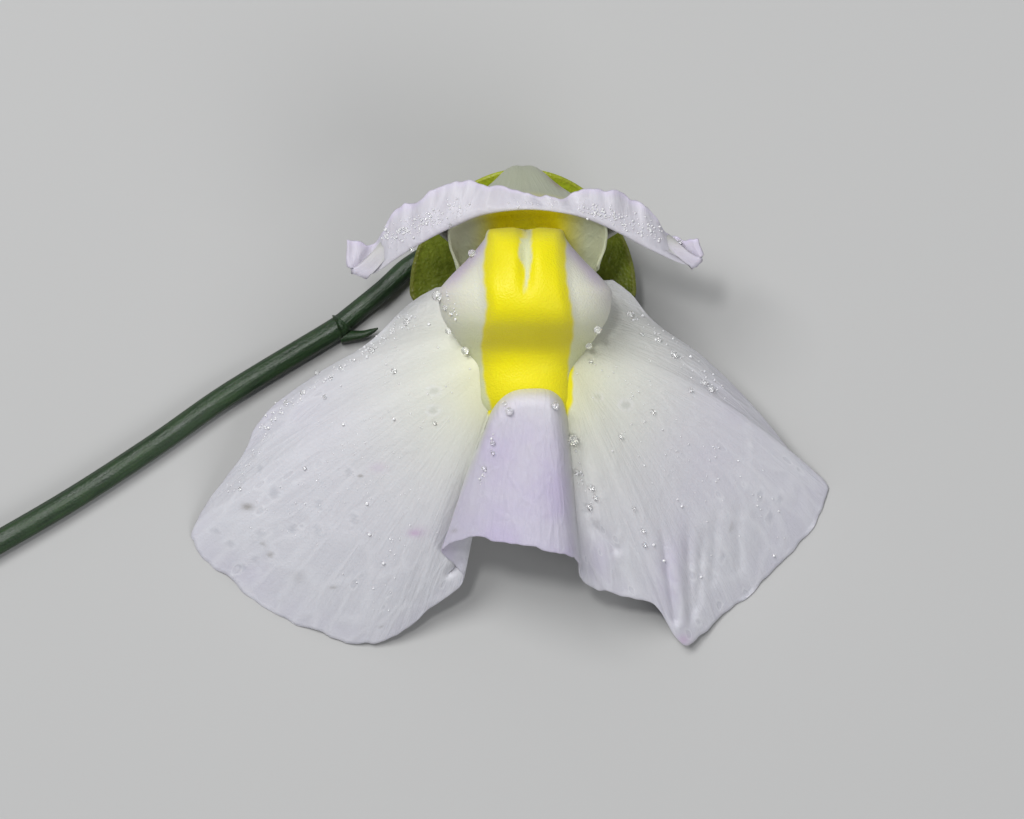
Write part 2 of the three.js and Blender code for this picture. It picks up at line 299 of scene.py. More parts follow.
def veinGroup():
    # streaks and a pale net along the veins, from the petal's own across-and-out coordinates
    group, given, out = newGroup("petalVeins", {
        "Flow": ("Vector", None), "Count": ("Float", 240.0), "Length": ("Float", 3.0),
    }, ["Fine", "Broad", "Net"])
    stretch = put(group, "CombineXYZ", {0: given["Count"], 1: given["Length"], 2: 1.0}).outputs[0]
    at = times(group, given["Flow"], stretch)
    bend = put(group, "TexNoise", {"Vector": at, "Scale": 0.12, "Detail": 2.0}).outputs[1]
    at = swayed(group, bend, (5.0, 0.6, 0.0), at)
    fine = put(group, "TexNoise", {"Vector": at, "Scale": 1.0, "Detail": 3.0, "Roughness": 0.6})
    group.links.new(spread(group, fine.outputs[0], 0.32, 0.68), out["Fine"])
    wide = times(group, at, (0.16, 0.5, 1.0))
    broad = put(group, "TexNoise", {"Vector": wide, "Scale": 1.0, "Detail": 2.0})
    group.links.new(spread(group, broad.outputs[0], 0.34, 0.66), out["Broad"])
    short = times(group, at, (0.8, 3.2, 1.0))
    sway = put(group, "TexNoise", {"Vector": short, "Scale": 0.35, "Detail": 2.0}).outputs[1]
    bent = swayed(group, sway, (2.2, 1.4, 0.0), short)
    cells = put(group, "TexVoronoi", {"Vector": bent, "Scale": 0.42}, feature="DISTANCE_TO_EDGE")
    group.links.new(spread(group, cells.outputs[0], 0.0, 0.2, 1.0, 0.0), out["Net"])
    return group


def blotchGroup():
    # scattered ovals with pale rims: some cells of a cell pattern are drawn, by their own random number
    group, given, out = newGroup("petalBlotches", {
        "Flow": ("Vector", None), "Across": ("Float", 110.0), "Out": ("Float", 13.0), "Share": ("Float", 0.3),
    }, ["Inside", "Rim"])
    stretch = put(group, "CombineXYZ", {0: given["Across"], 1: given["Out"], 2: 0.0}).outputs[0]
    at = times(group, given["Flow"], stretch)
    sway = put(group, "TexNoise", {"Vector": at, "Scale": 1.6, "Detail": 1.0}).outputs[1]
    bent = swayed(group, sway, (0.4, 0.4, 0.0), at)
    cells = put(group, "TexVoronoi", {"Vector": bent, "Scale": 1.0, "Randomness": 0.8})
    chance = put(group, "SeparateColor", {0: cells.outputs["Color"]}).outputs[0]
    drawn = maths(group, "LESS_THAN", chance, given["Share"])
    size = maths(group, "MULTIPLY_ADD", chance, 0.5, 0.2)
    reach = maths(group, "DIVIDE", cells.outputs["Distance"], size)
    inside = spread(group, reach, 0.75, 1.0, 1.0, 0.0)
    outside = spread(group, reach, 1.05, 1.45, 1.0, 0.0)
    ring = maths(group, "MULTIPLY", spread(group, reach, 0.75, 1.02), outside)
    group.links.new(maths(group, "MULTIPLY", inside, drawn), out["Inside"])
    group.links.new(maths(group, "MULTIPLY", ring, drawn), out["Rim"])
    return group


def skinGroup():
    # fine plant skin: domed cells for the bump and a cloudy tone for colour and gloss
    group, given, out = newGroup("plantSkin", {"Cells": ("Float", 9000.0), "Clouds": ("Float", 350.0)},
                                 ["Height", "Tone"])
    at = put(group, "TexCoord").outputs["Object"]
    cells = put(group, "TexVoronoi", {"Vector": at, "Scale": given["Cells"]}, feature="SMOOTH_F1")
    group.links.new(spread(group, cells.outputs["Distance"], 0.0, 0.7, 1.0, 0.0), out["Height"])
    clouds = put(group, "TexNoise", {"Vector": at, "Scale": given["Clouds"], "Detail": 4.0})
    group.links.new(spread(group, clouds.outputs[0], 0.3, 0.7), out["Tone"])
    return group


veins, blotches, skin = veinGroup(), blotchGroup(), skinGroup()


def petalMaterial(name, look):
    # white tissue, tinted by the attributes green, lilac, stain and yellow, with veins, net and blotches
    material, tree, shader = newMaterial(name, **{
        "Subsurface Weight": look["glow"], "Subsurface Scale": 0.0006, "IOR": 1.4,
        "Subsurface Radius": (1.0, 0.85, 0.8), "Sheen Weight": look["sheen"], "Sheen Roughness": 0.5,
    })
    flow = attribute(tree, "flow", "Vector")
    out = put(tree, "SeparateXYZ", {0: flow}).outputs[1]
    vein = useGroup(tree, veins, {"Flow": flow, "Count": look["veinCount"], "Length": look["veinLength"]})
    spots = useGroup(tree, blotches, {"Flow": flow, "Across": look["spotsAcross"], "Out": look["spotsOut"],
                                      "Share": look["spotShare"]})
    grain = useGroup(tree, skin, {"Cells": 9000.0, "Clouds": 420.0})
    yellowness, outer = attribute(tree, "yellow"), attribute(tree, "outer")
    patchy = maths(tree, "MULTIPLY_ADD", outer, 0.75, 0.25)
    plain = mixed(tree, attribute(tree, "green"), look["white"], look["green"])
    cloudy = maths(tree, "MULTIPLY_ADD", grain["Tone"], 0.5, 0.6)
    lilac = maths(tree, "MULTIPLY", attribute(tree, "lilac"), cloudy)
    colour = mixed(tree, lilac, plain, look["lilac"])
    faint = maths(tree, "MULTIPLY", spread(tree, out, 0.05, 0.4), look["streak"])
    fine = maths(tree, "MULTIPLY", vein["Fine"], faint)
    colour = mixed(tree, fine, colour, look["streakColour"], "MULTIPLY")
    broad = maths(tree, "MULTIPLY", vein["Broad"], maths(tree, "MULTIPLY", faint, 0.5))
    colour = mixed(tree, broad, colour, look["streakColour"], "MULTIPLY")
    net = maths(tree, "MULTIPLY", vein["Net"], maths(tree, "MULTIPLY", outer, look["net"]))
    colour = mixed(tree, net, colour, look["pale"])
    inside = maths(tree, "MULTIPLY", spots["Inside"], patchy)
    dull = maths(tree, "MULTIPLY", inside, look["spot"])
    colour = mixed(tree, dull, colour, look["spotColour"], "MULTIPLY")
    rim = maths(tree, "MULTIPLY", spots["Rim"], patchy)
    colour = mixed(tree, maths(tree, "MULTIPLY", rim, look["spot"]), colour, look["pale"])
    colour = mixed(tree, attribute(tree, "spotInside"), colour, look["spotColour"], "MULTIPLY")
    colour = mixed(tree, attribute(tree, "spotRim"), colour, look["pale"])
    colour = mixed(tree, attribute(tree, "stain"), colour, look["stain"])
    colour = mixed(tree, attribute(tree, "speck"), colour, look["speck"])
    colour = mixed(tree, yellowness, colour, look["yellow"])
    tree.links.new(colour, shader.inputs["Base Color"])
    gloss = maths(tree, "MULTIPLY_ADD", grain["Tone"], 0.16, look["roughness"])
    tree.links.new(gloss, shader.inputs["Roughness"])
    lines = maths(tree, "ADD", vein["Fine"], vein["Net"])
    lines = maths(tree, "MULTIPLY", lines, spread(tree, out, 0.0, 0.35))
    relief = maths(tree, "MULTIPLY_ADD", grain["Height"], 0.35, lines)
    relief = maths(tree, "SUBTRACT", relief, inside)
    bump = put(tree, "Bump", {"Height": relief, "Distance": 0.00006, "Strength": look["bump"]})
    tree.links.new(bump.outputs[0], shader.inputs["Normal"])
    return material


lowerLip = {
    # ribs from the palate's foot out to the margin, left corner of the mouth round to the right one:
    # [foot x, y, z, margin x, y, z]
    "ribs": [
        [-2.9, 6.2, 7.0, -4.2, 6.1, 6.4], [-3.0, 5.4, 7.3, -5.6, 5.2, 5.4],
        [-2.8, 4.6, 7.7, -7.6, 3.3, 4.4], [-2.5, 4.1, 8.1, -10.1, 1.8, 3.3],
        [-2.2, 3.7, 8.6, -12.8, -0.2, 2.3], [-1.9, 3.3, 8.95, -14.0, -2.3, 1.6],
        [-1.7, 3.0, 9.28, -15.7, -4.6, 0.5], [-1.5, 2.8, 9.5, -16.6, -6.5, 0.1],
        [-1.4, 2.6, 9.6, -15.0, -8.4, 0.03], [-1.2, 2.4, 9.6, -12.2, -10.4, 0.03],
        [-1.1, 2.3, 9.7, -9.2, -11.6, 0.15], [-1.0, 2.2, 9.8, -6.9, -11.7, 0.45],
        [-0.9, 2.1, 9.9, -4.8, -10.2, 1.7], [-0.7, 2.1, 9.9, -2.8, -8.5, 3.2],
        [-0.5, 2.0, 10, -3.9, -7.1, 5.4], [-0.2, 2.0, 10, -2.5, -6.3, 7.9], [0.2, 2.0, 10, -0.9, -6.5, 8.8],
        [0.7, 2.0, 10, 0.8, -6.8, 9.0], [1.2, 2.0, 10, 2.3, -7.2, 8.1], [1.6, 2.0, 10, 2.9, -7.6, 6.2],
        [1.8, 2.1, 9.9, 3.1, -8.5, 4.2], [1.9, 2.2, 9.8, 4.6, -9.2, 4.0], [2.0, 2.3, 9.7, 6.8, -9.8, 2.6],
        [2.1, 2.4, 9.6, 8.3, -11.8, 0.9], [2.2, 2.6, 9.4, 10.3, -10.4, 0.1],
        [2.3, 2.8, 9.2, 12.5, -8.5, 0.03], [2.4, 3.0, 9, 14.6, -6.2, 0.03],
        [2.5, 3.3, 8.7, 15.6, -4.0, 0.08], [2.7, 3.7, 8.38, 14.0, -2.5, 1.2],
        [2.9, 4.1, 8.05, 11.6, 0.3, 2.3], [3.1, 4.6, 7.7, 9.2, 2.6, 3.4], [3.3, 5.2, 7.4, 6.8, 4.3, 4.6],
        [3.3, 5.8, 7.1, 5.5, 5.8, 5.6], [3.2, 6.3, 7.0, 4.6, 6.5, 6.4],
    ],
    # middle lobe: its share of the rim, and its rounded nose below the palate
    "ridge": {"from": 0.388, "to": 0.59, "lift": 1.8, "noseX": 0.55, "noseY": 0.9, "noseCurve": 0.24,
              "flare": 2.2, "rise": 0.6},
    "falling": 1.45,  # over 1, the lip is level by the palate and falls away towards its rim
    "footThickness": 0.4, "rimThickness": 0.08,
    "bowLeft": 2.6, "bowRight": 3.2,  # how far the veins bow out on their way to the rim
    "scallops": [(23, 0.1, 0.004), (41, 0.7, 0.003), (67, 0.3, 0.0022), (113, 0.5, 0.0012)],
    # soft folds: [start x, y, end x, y, width, depth], hills below 0
    "folds": [
        [3.3, -5.2, 4.7, -6.9, 0.32, 0.30], [4.7, -6.9, 5.4, -9.0, 0.35, 0.18],
        [2.9, -1.5, 3.4, -5.0, 0.30, 0.22], [6.9, -5.6, 7.8, -10.6, 0.20, 0.26],
        [7.5, -6.0, 8.3, -10.8, 0.18, -0.16], [8.3, -5.4, 8.6, -10.6, 0.20, 0.24],
        [9.2, -5.6, 8.9, -10.0, 0.20, 0.16], [9.8, -4.6, 9.7, -8.6, 0.24, 0.12],
        [10.9, -4.0, 11.1, -8.0, 0.26, 0.10], [7.35, 2.45, 9.85, 0.95, 0.24, 0.12],
        [7.3, 2.95, 10.0, 1.3, 0.35, -0.07], [-9.0, 3.0, -12.6, -0.4, 0.30, 0.10],
        [-10.4, 0.9, -13.2, -2.0, 0.35, -0.12], [-4.6, -6.0, -5.4, -9.6, 0.35, 0.08],
        [-7.4, -5.4, -8.4, -10.4, 0.5, 0.07], [-2.8, -7.4, -3.5, -8.1, 0.22, 0.5],
        [-11.0, -5.0, -13.4, -8.0, 0.5, 0.06], [11.5, -4.0, 12.6, -7.6, 0.5, 0.07],
    ],
    # tints: [middle x, y, half width, half height, strength]
    "lilacPatches": [
        [1.1, -4.4, 1.9, 2.4, 0.16], [9.4, -2.6, 3.4, 2.6, 0.16], [7.6, -8.0, 1.0, 2.4, 0.45],
        [11.0, 0.6, 2.4, 1.4, 0.18], [-11.6, 0.2, 2.6, 1.5, 0.14], [-14.4, -8.2, 1.8, 1.0, 0.16],
        [3.9, -7.4, 0.8, 1.4, 0.35], [14.0, -5.0, 2.2, 2.6, 0.10],
    ],
    "stains": [
        [-5.25, -6.05, 0.30, 0.16, 0.35], [-5.05, -5.95, 0.5, 0.3, 0.15], [-7.0, -2.75, 0.42, 0.25, 0.16],
        [8.25, -11.65, 0.35, 0.3, 0.35],
    ],
    "specks": [
        [-12.9, -6.75, 0.10, 0.10, 0.7], [-12.6, -7.25, 0.14, 0.12, 0.6], [-13.7, -4.85, 0.30, 0.16, 0.65],
        [-11.2, -8.4, 0.3, 0.3, 0.18], [-9.4, -8.9, 0.12, 0.08, 0.4], [-3.2, -6.0, 0.16, 0.10, 0.4],
        [-7.9, -3.2, 0.07, 0.07, 0.6], [-7.0, -10.9, 0.09, 0.07, 0.5], [10.6, -5.9, 0.08, 0.16, 0.5],
    ],
    "spots": [  # ovals with a paler rim: [middle x, y, half width, half height]
        [-12.3, -4.1, 0.30, 0.42], [-11.4, -5.95, 0.24, 0.36], [-10.15, -6.0, 0.22, 0.38],
        [-13.1, -6.15, 0.26, 0.30], [-14.65, -6.75, 0.30, 0.24], [-15.4, -6.1, 0.30, 0.18],
        [-13.4, -7.5, 0.22, 0.26], [-14.05, -7.9, 0.28, 0.20], [-8.25, -5.35, 0.20, 0.32],
        [-8.5, -3.0, 0.22, 0.30], [-10.0, -4.7, 0.20, 0.34], [-4.2, 0.1, 0.26, 0.22],
        [-4.15, 1.0, 0.28, 0.18], [5.1, 0.3, 0.30, 0.22], [3.65, 0.7, 0.24, 0.16],
        [12.05, -4.3, 0.18, 0.36], [12.6, -5.4, 0.20, 0.30], [13.1, -4.45, 0.16, 0.30],
        [-13.0, -3.0, 0.20, 0.24], [10.2, -7.3, 0.16, 0.34],
    ],
    "look": {
        "white": (0.62, 0.615, 0.655, 1), "green": (0.63, 0.64, 0.51, 1), "lilac": (0.5, 0.435, 0.62, 1),
        "pale": (0.72, 0.715, 0.75, 1), "streakColour": (0.86, 0.86, 0.88, 1),
        "spotColour": (0.84, 0.85, 0.86, 1),
        "stain": (0.44, 0.20, 0.46, 1), "speck": (0.16, 0.14, 0.10, 1), "yellow": (0.77, 0.69, 0.0, 1),
        "streak": 0.24, "net": 0.3, "spot": 0.45, "veinCount": 230.0, "veinLength": 4.5,
        "spotsAcross": 118.0, "spotsOut": 14.0, "spotShare": 0.22, "roughness": 0.5, "bump": 0.28,
        "glow": 0.2, "sheen": 0.08,
    },
}
yellowBand = {  # the palate's yellow stripe: [y, x of its edge]
    "left": [[-0.2, -1.35], [0.8, -1.65], [2.3, -1.85], [3.1, -1.95], [4.85, -1.65], [6.5, -1.8],
             [8.45, -1.65], [9.1, -1.55]],
    "right": [[-0.2, 2.25], [0.8, 2.45], [2.6, 2.4], [4.15, 2.65], [6.15, 2.3], [8.2, 2.25], [9.1, 2.15]],
    "low": -0.25, "soft": 0.09,  # lower end and softness of its edges
}


def inYellowBand(x, y):
    soft = yellowBand["soft"]
    left, right = heightsAt(yellowBand["left"], y), heightsAt(yellowBand["right"], y)
    wave = ripple(y, [(0.35, 0.2, 0.03), (1.3, 0.6, 0.02)])
    return (smooth(x - left - wave, -soft, soft) * smooth(right + wave - x, -soft, soft)
            * smooth(y, yellowBand["low"] - soft, yellowBand["low"] + soft))


def ridgeShare(u, x, y):
    # 1 on the middle lobe, 0 on the side lobes; with d = |x - nose x|, it starts at the line
    # nose y - curve * min(d, 2)^3 - flare * max(d - 2, 0)
    ridge = lowerLip["ridge"]
    away = np.abs(x - ridge["noseX"])
    nose = (ridge["noseY"] - ridge["noseCurve"] * np.minimum(away, 2) ** 3
            - ridge["flare"] * np.maximum(away - 2, 0))
    sides = smooth(u, ridge["from"], ridge["from"] + 0.036) * (1 - smooth(u, ridge["to"] - 0.05, ridge["to"]))
    return sides * np.sqrt(smooth(nose - y, 0, ridge["rise"]))


def lowerLipSurface(u, v):
    # foot + (margin - foot) * v in plan, bowed sideways by sin^2 over each side lobe; height falls as
    # v^falling, the middle lobe is lifted, and soft folds are pressed in
    foot, margin = np.hsplit(curveAt(lowerLip["ribs"], u), 2)
    v = v + ripple(u, lowerLip["scallops"]) * smooth(v, 0.6, 1.0) * v
    plan = foot[:, :2] + (margin - foot)[:, :2] * v[:, None]
    way = unit(margin[:, :2] - foot[:, :2])
    leftLobe, rightLobe = np.clip(u / 0.36, 0, 1), np.clip((u - 0.62) / 0.38, 0, 1)
    bow = lowerLip["bowLeft"] * np.sin(np.pi * leftLobe) ** 2
    bow -= lowerLip["bowRight"] * np.sin(np.pi * rightLobe) ** 2
    plan += (bow * v * (1 - v))[:, None] * np.stack([way[:, 1], -way[:, 0]], -1)
    z = foot[:, 2] + (margin - foot)[:, 2] * np.maximum(v, 0) ** lowerLip["falling"]
    x, y = plan.T
    ridge = ridgeShare(u, x, y)
    z += lowerLip["ridge"]["lift"] * ridge * (1 - v)
    rimFree = 1 - 0.6 * smooth(v, 0.9, 1)
    for fold in lowerLip["folds"]:
        z -= fold[5] * stroke(x, y, fold) * (1 - ridge) * rimFree
    return np.column_stack([x, y, np.maximum(z, 0.03)])


def buildLowerLip():
    columns, rows = 430, 112
    u, v = np.meshgrid(np.linspace(0, 1, columns), np.linspace(0, 1, rows))
    front = lowerLipSurface(u.ravel(), v.ravel()).reshape(rows, columns, 3)
    thinner = lowerLip["footThickness"] - lowerLip["rimThickness"]
    thickness = lowerLip["footThickness"] - thinner * smooth(v, 0.1, 1)
    points, faces, source = leaf(front, thickness)
    x, y = front[..., 0], front[..., 1]
    ridge = ridgeShare(u, x, y)
    fromPalate = np.hypot((x - 0.3) / 1.15, y - 1.6)
    lilac = 0.62 * ridge * smooth(0.9 - y, -1.5, 2.6) + 0.14 * smooth(v, 0.86, 1.0)
    lilac += sum(spot[4] * bell(x, y, spot) for spot in lowerLip["lilacPatches"])
    band = inYellowBand(x, y) * (1 - smooth(ridge, 0.1, 0.3))
    reaches = [np.hypot((x - spot[0]) / spot[2], (y - spot[1]) / spot[3]) for spot in lowerLip["spots"]]
    values = {
        "spotInside": sum(0.8 * (1 - smooth(reach, 0.6, 1.0)) for reach in reaches),
        "spotRim": sum(0.3 * np.exp(-(((reach - 1.15) / 0.28) ** 2)) for reach in reaches),
        "green": np.clip(1.1 * np.exp(-((fromPalate / 5.5) ** 2)), 0, 1) * (1 - 0.8 * ridge),
        "lilac": np.clip(lilac, 0, 1),
        "yellow": np.clip(band + 0.16 * np.exp(-((fromPalate / 2.9) ** 4)) * (1 - ridge), 0, 1),
        "outer": smooth(v, 0.45, 0.8) * (1 - ridge),
        "stain": sum(spot[4] * bell(x, y, spot) for spot in lowerLip["stains"]),
        "speck": sum(spot[4] * bell(x, y, spot) for spot in lowerLip["specks"]),
    }
    count = rows * columns
    surfaces["lowerLip"] = points[count:2 * count], points[count:2 * count] - points[:count]
    makePiece("lower_lip", points, faces, petalMaterial("lowerLipTissue", lowerLip["look"]),
              ["lower_lip"], onLeaf(values, [u, v, 0 * u], source))
    print("lower lip made")


palate = {
    "middle": 0.25, "back": 7.0, "low": -0.4, "high": 9.0, "squareness": 1.0, "topSquareness": 0.5,
    "halfWidth": [  # [y, half width]
        [-0.4, 2.25], [0.4, 2.42], [1.3, 2.45], [2.2, 2.55], [2.9, 2.95], [3.6, 3.5], [4.6, 4.1],
        [5.65, 4.3], [6.0, 4.2], [6.75, 3.55], [7.4, 2.9], [8.4, 2.05], [8.8, 1.9], [9.0, 1.75],
    ],
    "front": [  # [y, height]
        [-0.4, 9.7], [0.0, 10.35], [0.5, 10.75], [1.2, 10.95], [1.9, 11.05], [2.4, 11.2], [2.9, 11.55],
        [3.6, 12.5], [4.4, 13.4], [5.6, 13.9], [7.2, 13.7], [8.2, 13.1], [8.7, 12.4], [9.0, 11.4],
    ],
    "groove": {"x": 0.3, "width": 0.36, "depth": 0.6, "from": 5.0, "to": 7.6, "dip": 0.22},
    "bandLift": 0.42,
    # lilac creases beside the humps: [start x, y, end x, y, width]
    "creases": [[-3.9, 5.9, -2.0, 8.0, 0.4], [4.3, 5.9, 2.6, 7.9, 0.4]],
    # half width of the pale streak in the groove: [y, half width]
    "streakHalf": [[5.6, 0.02], [6.3, 0.08], [7.0, 0.15], [7.5, 0.33], [8.2, 0.27], [8.9, 0.22]],
    "look": {
        "yellow": (0.77, 0.69, 0.0, 1), "shadedYellow": (0.66, 0.56, 0.0, 1),
        "white": (0.66, 0.65, 0.59, 1), "green": (0.60, 0.62, 0.34, 1), "lilac": (0.50, 0.40, 0.58, 1),
    },
}


def palateMaterial(look):
    # yellow, deeper in cloudy patches and with painted shade under the bulge, between sides that run from
    # white to green and lilac
    material, tree, shader = newMaterial("palateTissue", **{
        "Subsurface Weight": 0.2, "Subsurface Scale": 0.0006, "Subsurface Radius": (1.0, 0.8, 0.4),
        "IOR": 1.4, "Sheen Weight": 0.1, "Sheen Roughness": 0.5,
    })
    grain = useGroup(tree, skin, {"Cells": 11000.0, "Clouds": 500.0})
    side = mixed(tree, attribute(tree, "green"), look["white"], look["green"])
    side = mixed(tree, attribute(tree, "lilac"), side, look["lilac"])
    # the deeper yellow mixed in here by the attribute deep is painted shade on the bulge's underside
    deep = maths(tree, "MULTIPLY_ADD", grain["Tone"], 0.25, attribute(tree, "deep"))
    yellow = mixed(tree, deep, look["yellow"], look["shadedYellow"])
    tree.links.new(mixed(tree, attribute(tree, "yellow"), side, yellow), shader.inputs["Base Color"])
    tree.links.new(maths(tree, "MULTIPLY_ADD", grain["Tone"], 0.15, 0.45), shader.inputs["Roughness"])
    bump = put(tree, "Bump", {"Height": grain["Height"], "Distance": 0.00004, "Strength": 0.35})
    tree.links.new(bump.outputs[0], shader.inputs["Normal"])
    return material


def buildPalate():
    # levels across the flower: x = middle + half width * |cos|^p, z = mid height + half height * |sin|^p, p
    # falling towards the top, with the yellow band lifted and a groove pressed in between its two humps
    levels, sides = 200, 230
    turn = np.linspace(0.02, np.pi - 0.02, levels)[:, None]
    y = (palate["low"] + palate["high"]) / 2 - (palate["high"] - palate["low"]) / 2 * np.cos(turn)
    wide = heightsAt(palate["halfWidth"], y) * np.minimum(1, 5 * np.sin(turn)) ** 0.5
    top = heightsAt(palate["front"], y)
    angle = np.linspace(0, 2 * np.pi, sides, endpoint=False)[None]
    power = palate["squareness"] + (palate["topSquareness"] - palate["squareness"]) * smooth(y, 7.2, 8.8)
    x = palate["middle"] + wide * np.sign(np.cos(angle)) * np.abs(np.cos(angle)) ** power
    bulge = np.sign(np.sin(angle)) * np.abs(np.sin(angle)) ** power
    z = (top + palate["back"]) / 2 + (top - palate["back"]) / 2 * bulge
    y = y + 0 * x
    facing = smooth(np.sin(angle), 0.15, 0.5) * np.sin(turn) ** 0.5
    leftEdge, rightEdge = heightsAt(yellowBand["left"], y), heightsAt(yellowBand["right"], y)
    raised = smooth(x - leftEdge, -0.35, 0.55) * smooth(rightEdge - x, -0.35, 0.55)
    z += palate["bandLift"] * raised * facing * smooth(y, 3.0, 5.0)
    groove = palate["groove"]
    share = np.exp(-(((x - groove["x"]) / groove["width"]) ** 2))
    z -= groove["depth"] * smooth(y, groove["from"], groove["to"]) * share * facing
    y -= groove["dip"] * smooth(y, 8.0, 8.9) * share
    points, faces = ringBody(np.stack([x, y, z], -1))
    px, py, pz = points.T
    half = heightsAt(palate["streakHalf"], py)
    streak = smooth(half - np.abs(px - 0.3 - 0.06 * np.sin(3 * py)), -0.05, 0.06) * smooth(py, 5.5, 5.8)
    outward = np.abs(px - palate["middle"]) / 4.2
    ridgeLine = sum(stroke(px, py, crease) for crease in palate["creases"])
    green = 0.25 + 0.75 * smooth(4.6 - py, -1.0, 2.0) + 0.6 * streak
    values = {
        "yellow": inYellowBand(px, py) * (1 - streak) * smooth(pz, 8.0, 9.0),
        "green": np.clip(green, 0, 1) * (1 - 0.4 * smooth(outward, 0.6, 1)),
        "lilac": np.clip(0.7 * ridgeLine + 0.2 * smooth(outward, 0.7, 1.0) * smooth(py, 4.5, 6.0), 0, 1),
        # deep: painted shade where the bulge's underside faces away (y near 3.6), and a deeper yellow towards
        # the band's edges
        "deep": 0.6 * bell(px, py, [0.3, 3.6, 9.0, 0.8]) + 0.2 * smooth(np.abs(px - 0.3), 1.3, 2.3),
    }
    grid = points[:-2].reshape(levels, sides, 3)
    away = np.cross(np.gradient(grid, axis=1), np.gradient(grid, axis=0))
    surfaces["palate"] = points[:-2], away.reshape(-1, 3)
    makePiece("palate", points, faces, palateMaterial(palate["look"]), ["lower_lip"], values)
    print("palate made")


upperLip = {
    # arches from the base to the free margin, each from left to right
    "arches": [
        [[-2.0, 6.0, 3.1], [-2.5, 6.9, 3.0], [-1.6, 7.6, 2.9], [0.15, 7.8, 2.9], [1.9, 7.6, 2.9],
         [2.8, 6.9, 3.0], [2.3, 6.0, 3.1]],
        [[-2.8, 7.9, 5.2], [-3.2, 8.8, 5.0], [-1.9, 9.3, 4.8], [0.15, 9.5, 4.8], [2.2, 9.3, 4.8],
         [3.8, 8.8, 5.0], [3.2, 7.9, 5.2]],
        [[-4.7, 9.2, 7.4], [-3.6, 9.8, 7.0], [-1.75, 10.5, 6.8], [-0.5, 11.75, 6.7], [0.13, 11.85, 6.7],
         [0.75, 11.75, 6.7], [1.85, 10.5, 6.8], [4.4, 9.8, 7.0], [5.5, 9.2, 7.4]],
        [[-6.4, 8.4, 9.2], [-4.4, 9.4, 9.6], [-1.9, 10.2, 9.8], [0.4, 10.6, 9.8], [2.6, 10.2, 9.8],
         [4.9, 9.4, 9.6], [7.1, 8.5, 9.2]],
        [[-8.3, 7.0, 9.6], [-7.3, 6.75, 9.4], [-6.3, 7.4, 10.0], [-5.0, 8.2, 10.8], [-3.6, 8.95, 11.2],
         [-1.9, 9.6, 11.5], [0.3, 9.85, 11.7], [2.0, 9.7, 11.6], [3.5, 9.35, 11.3], [5.0, 8.7, 10.9],
         [6.5, 7.9, 10.3], [8.2, 7.2, 9.4], [8.85, 7.55, 9.6]],
        [[-8.5, 8.35, 9.7], [-7.15, 8.3, 9.3], [-6.3, 9.75, 10.0], [-5.0, 10.35, 10.7], [-3.4, 11.2, 11.1],
         [-1.8, 11.1, 11.4], [0.2, 10.7, 11.6], [1.8, 10.4, 11.6], [3.4, 10.85, 11.3], [5.0, 10.65, 10.9],
         [6.4, 9.85, 10.3], [7.55, 8.55, 9.3], [8.8, 8.4, 9.7]],
    ],
    # the free margin's crinkles in y and waves in height: (cycles, phase, height)
    "crinkles": [(11, 0.1, 0.06), (17, 0.6, 0.04), (29, 0.2, 0.02), (43, 0.4, 0.01)],
    "waves": [(7, 0.3, 0.10), (13, 0.7, 0.07), (23, 0.5, 0.03)],
    "thickness": 0.3, "rimThickness": 0.12,
    "edges": [[-2.2, 10.6, -0.4, 12.3, 0.16], [2.2, 10.3, 0.75, 12.3, 0.16]],  # brown edges of the crest
    "look": {
        # white is darker than the lower lip's as painted shade on the tilted lip, and green is the hump's own
        # grey-green, darkened as painted shade
        "white": (0.500, 0.490, 0.520, 1), "green": (0.35, 0.38, 0.25, 1), "lilac": (0.56, 0.50, 0.66, 1),
        "pale": (0.72, 0.71, 0.77, 1), "streakColour": (0.9, 0.895, 0.92, 1),
        "spotColour": (0.9, 0.9, 0.9, 1),
        "stain": (0.24, 0.17, 0.10, 1), "speck": (0.75, 0.75, 0.70, 1), "yellow": (0.66, 0.58, 0.02, 1),
        "streak": 0.2, "net": 0.15, "spot": 0.2, "veinCount": 90.0, "veinLength": 6.0,
        "spotsAcross": 60.0, "spotsOut": 12.0, "spotShare": 0.2, "roughness": 0.48, "bump": 0.16,
        "glow": 0.2, "sheen": 0.08,
    },
}


def upperLipSurface(u, v):
    # a Catmull-Rom curve across the arches, at v from base to margin, through each arch's point at u, and the
    # free margin crinkled by two sums of sines
    across = np.stack([curveAt(arch, u) for arch in upperLip["arches"]], 1)
    points = np.einsum("ma,mac->mc", curveWeights(len(upperLip["arches"]), v), across)
    points[:, 1] += ripple(u, upperLip["crinkles"]) * smooth(v, 0.88, 1)
    points[:, 2] += ripple(u, upperLip["waves"]) * smooth(v, 0.84, 1)
    return points


